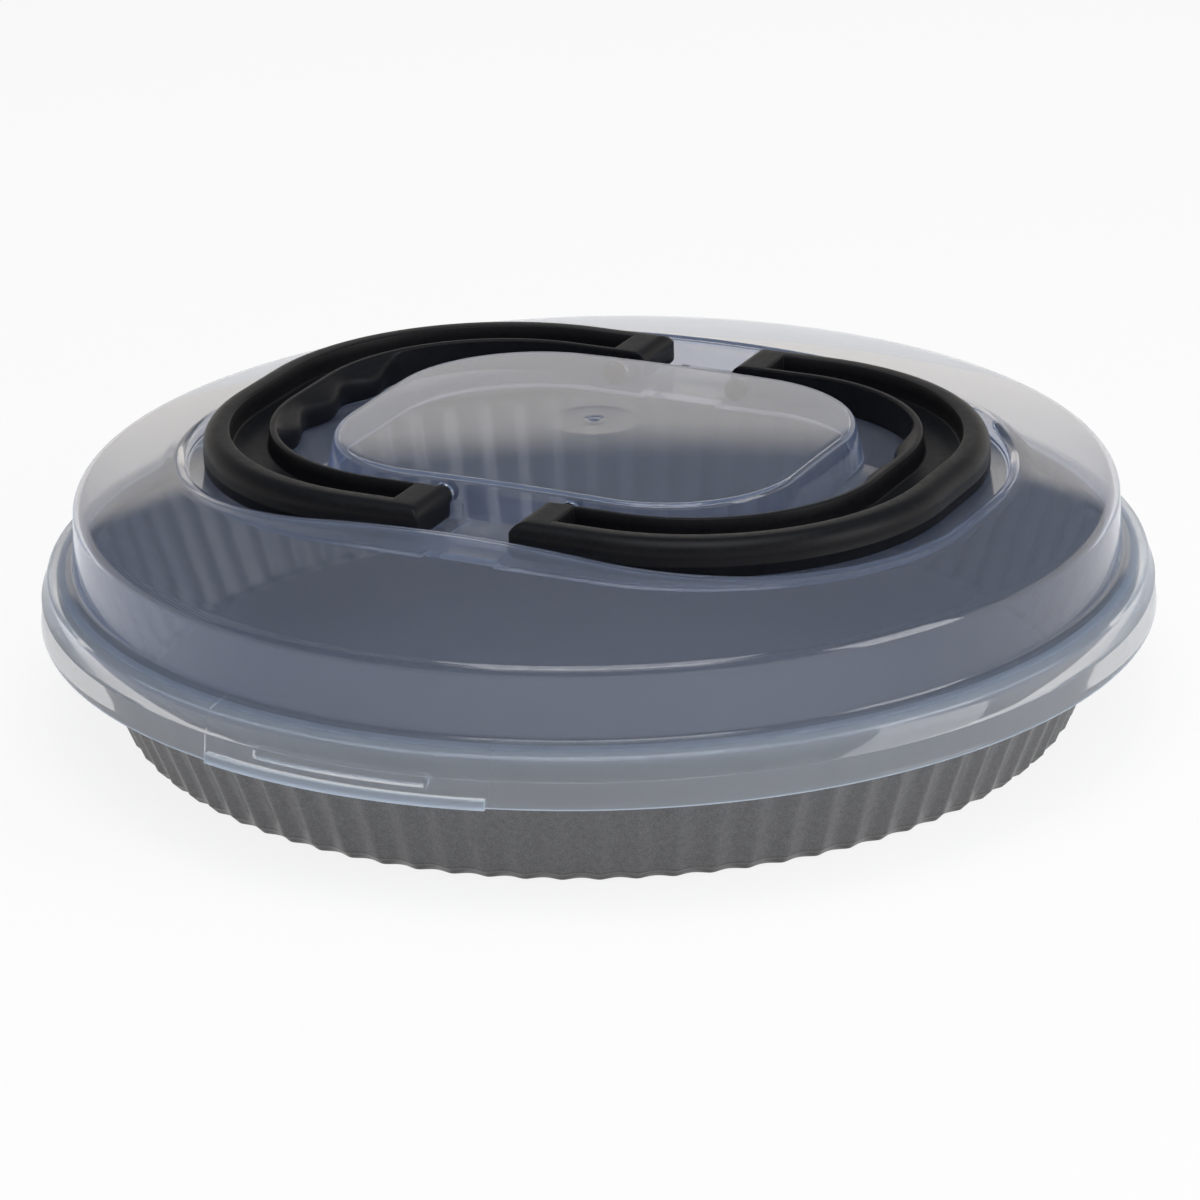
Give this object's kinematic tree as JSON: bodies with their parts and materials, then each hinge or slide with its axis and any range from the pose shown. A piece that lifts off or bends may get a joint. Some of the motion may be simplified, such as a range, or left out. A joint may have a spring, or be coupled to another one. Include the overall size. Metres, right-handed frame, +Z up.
{
  "type": "covered cake pan",
  "caption": "Round fluted cake pan with a clear domed press-fit lid and fold-up carrying handles sunk into the top of the lid.",
  "frame": {"origin": "centre of the flat underside of the pan, on the axis of the pan and lid", "axes": "+Z up along the axis of the pan, +X from one handle's grip to the other's, Y along both handle hinges, with a thumb tab of the lid towards -Y"},
  "size_m": [0.31, 0.3132, 0.0812],
  "materials": {
    "pan_coating": "dark grey non-stick coating with a fine metallic fleck",
    "clear_lid": "slightly hazy clear moulded plastic",
    "handle_plastic": "black fine-grained moulded plastic"
  },
  "bodies": {
    "pan_body": {"pan": "pan_coating"},
    "lid_body": {"lid": "clear_lid"},
    "right_handle_body": {"handle_right": "handle_plastic"},
    "left_handle_body": {"handle_left": "handle_plastic"}
  },
  "joints": [
    {"name": "lid_lift", "type": "slide", "parent": "pan_body", "child": "lid_body", "axis": [0, 0, 1], "range_m": [0, 0.12]},
    {"name": "right_handle_fold", "type": "hinge", "parent": "lid_body", "child": "right_handle_body", "pos_m": [0.019, 0, 0.07458], "axis": [0, -1, 0], "range_deg": [0, 99]},
    {"name": "left_handle_fold", "type": "hinge", "parent": "lid_body", "child": "left_handle_body", "pos_m": [-0.019, 0, 0.07458], "axis": [0, 1, 0], "range_deg": [0, 99]}
  ]
}
